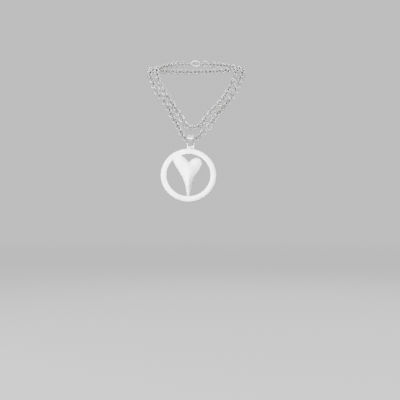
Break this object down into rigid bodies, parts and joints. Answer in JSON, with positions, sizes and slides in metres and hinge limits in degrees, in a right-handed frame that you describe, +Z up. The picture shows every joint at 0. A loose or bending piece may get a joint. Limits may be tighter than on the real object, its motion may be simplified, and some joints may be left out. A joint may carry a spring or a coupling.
{
  "type": "pendant necklace",
  "caption": "Long belcher-link chain worn twice round the neck, with a round open pendant that frames an elongated heart, hung from a bail, and a lobster clasp at the nape.",
  "frame": {"origin": "the middle of the line that joins the points where the chain turns over the two sides of the wearer's neck", "axes": "+Z up, -Y towards the viewer who faces the pendant, +X to that viewer's right; the pendant hangs down towards -Z and a little forwards"},
  "size_m": [0.1136, 0.1248, 0.1715],
  "materials": {
    "chain": "polished silver, darkened between the links",
    "pendant_satin": "bright satin silver",
    "fittings_polished": "polished silver",
    "pin_steel": "plain steel pin"
  },
  "bodies": {
    "root": {"nape_lower_link_01": "chain", "nape_lower_run_02": "chain", "nape_lower_run_03": "chain", "nape_lower_run_04": "chain", "nape_lower_run_05": "chain", "nape_lower_run_06": "chain", "nape_lower_run_07": "chain", "nape_lower_link_08": "chain", "nape_right_link_01": "chain", "nape_right_run_02": "chain", "nape_right_run_03": "chain", "nape_right_run_04": "chain", "nape_right_link_05": "chain", "nape_left_link_01": "chain", "nape_left_run_02": "chain", "nape_left_run_03": "chain", "nape_left_run_04": "chain", "nape_left_link_05": "chain", "jump_ring": "fittings_polished", "end_ring": "fittings_polished"},
    "upper_strand": {"upper_link_01": "chain", "upper_run_02": "chain", "upper_run_03": "chain", "upper_run_04": "chain", "upper_run_05": "chain", "upper_run_06": "chain", "upper_link_07": "chain", "upper_run_08": "chain", "upper_run_09": "chain", "upper_run_10": "chain", "upper_run_11": "chain", "upper_run_12": "chain", "upper_link_13": "chain"},
    "lower_strand": {"lower_link_01": "chain", "lower_run_02": "chain", "lower_run_03": "chain", "lower_run_04": "chain", "lower_run_05": "chain", "lower_run_06": "chain", "lower_link_07": "chain", "lower_link_08": "chain", "lower_link_09": "chain", "lower_run_10": "chain", "lower_run_11": "chain", "lower_run_12": "chain", "lower_run_13": "chain", "lower_run_14": "chain", "lower_link_15": "chain"},
    "bail": {"bail": "fittings_polished"},
    "pendant": {"pendant_ring": "pendant_satin", "pendant_heart": "pendant_satin", "pendant_stirrup": "fittings_polished"},
    "clasp": {"clasp_body": "fittings_polished", "clasp_pin": "pin_steel"},
    "clasp_lever": {"clasp_lever": "fittings_polished"}
  },
  "joints": [
    {"name": "lower_swing", "type": "hinge", "parent": "root", "child": "lower_strand", "pos_m": [0, 0, 0], "axis": [-1, 0, 0], "range_deg": [0, 30]},
    {"name": "upper_swing", "type": "hinge", "parent": "root", "child": "upper_strand", "pos_m": [0, 0, 0], "axis": [-1, 0, 0], "range_deg": [0, 30]},
    {"name": "bail_swing", "type": "hinge", "parent": "lower_strand", "child": "bail", "pos_m": [-0.005, -0.0605, -0.085], "axis": [-1, 0, 0], "range_deg": [0, 40]},
    {"name": "pendant_swing", "type": "hinge", "parent": "bail", "child": "pendant", "pos_m": [-0.005, -0.06211, -0.08942], "axis": [-1, 0, 0], "range_deg": [0, 75]},
    {"name": "clasp_swivel", "type": "hinge", "parent": "root", "child": "clasp", "pos_m": [0, 0.041, 0.013], "axis": [1, 0, 0], "range_deg": [-15, 15]},
    {"name": "lever_pivot", "type": "hinge", "parent": "clasp", "child": "clasp_lever", "pos_m": [-0.0022, 0.041, 0.0156], "axis": [0, 1, 0], "range_deg": [0, 25], "stiffness_Nm_per_rad": 0.002, "springref_deg": -17.19}
  ],
  "couplings": [
    {"joint": "upper_swing", "follows": "lower_swing", "ratio": 1}
  ]
}
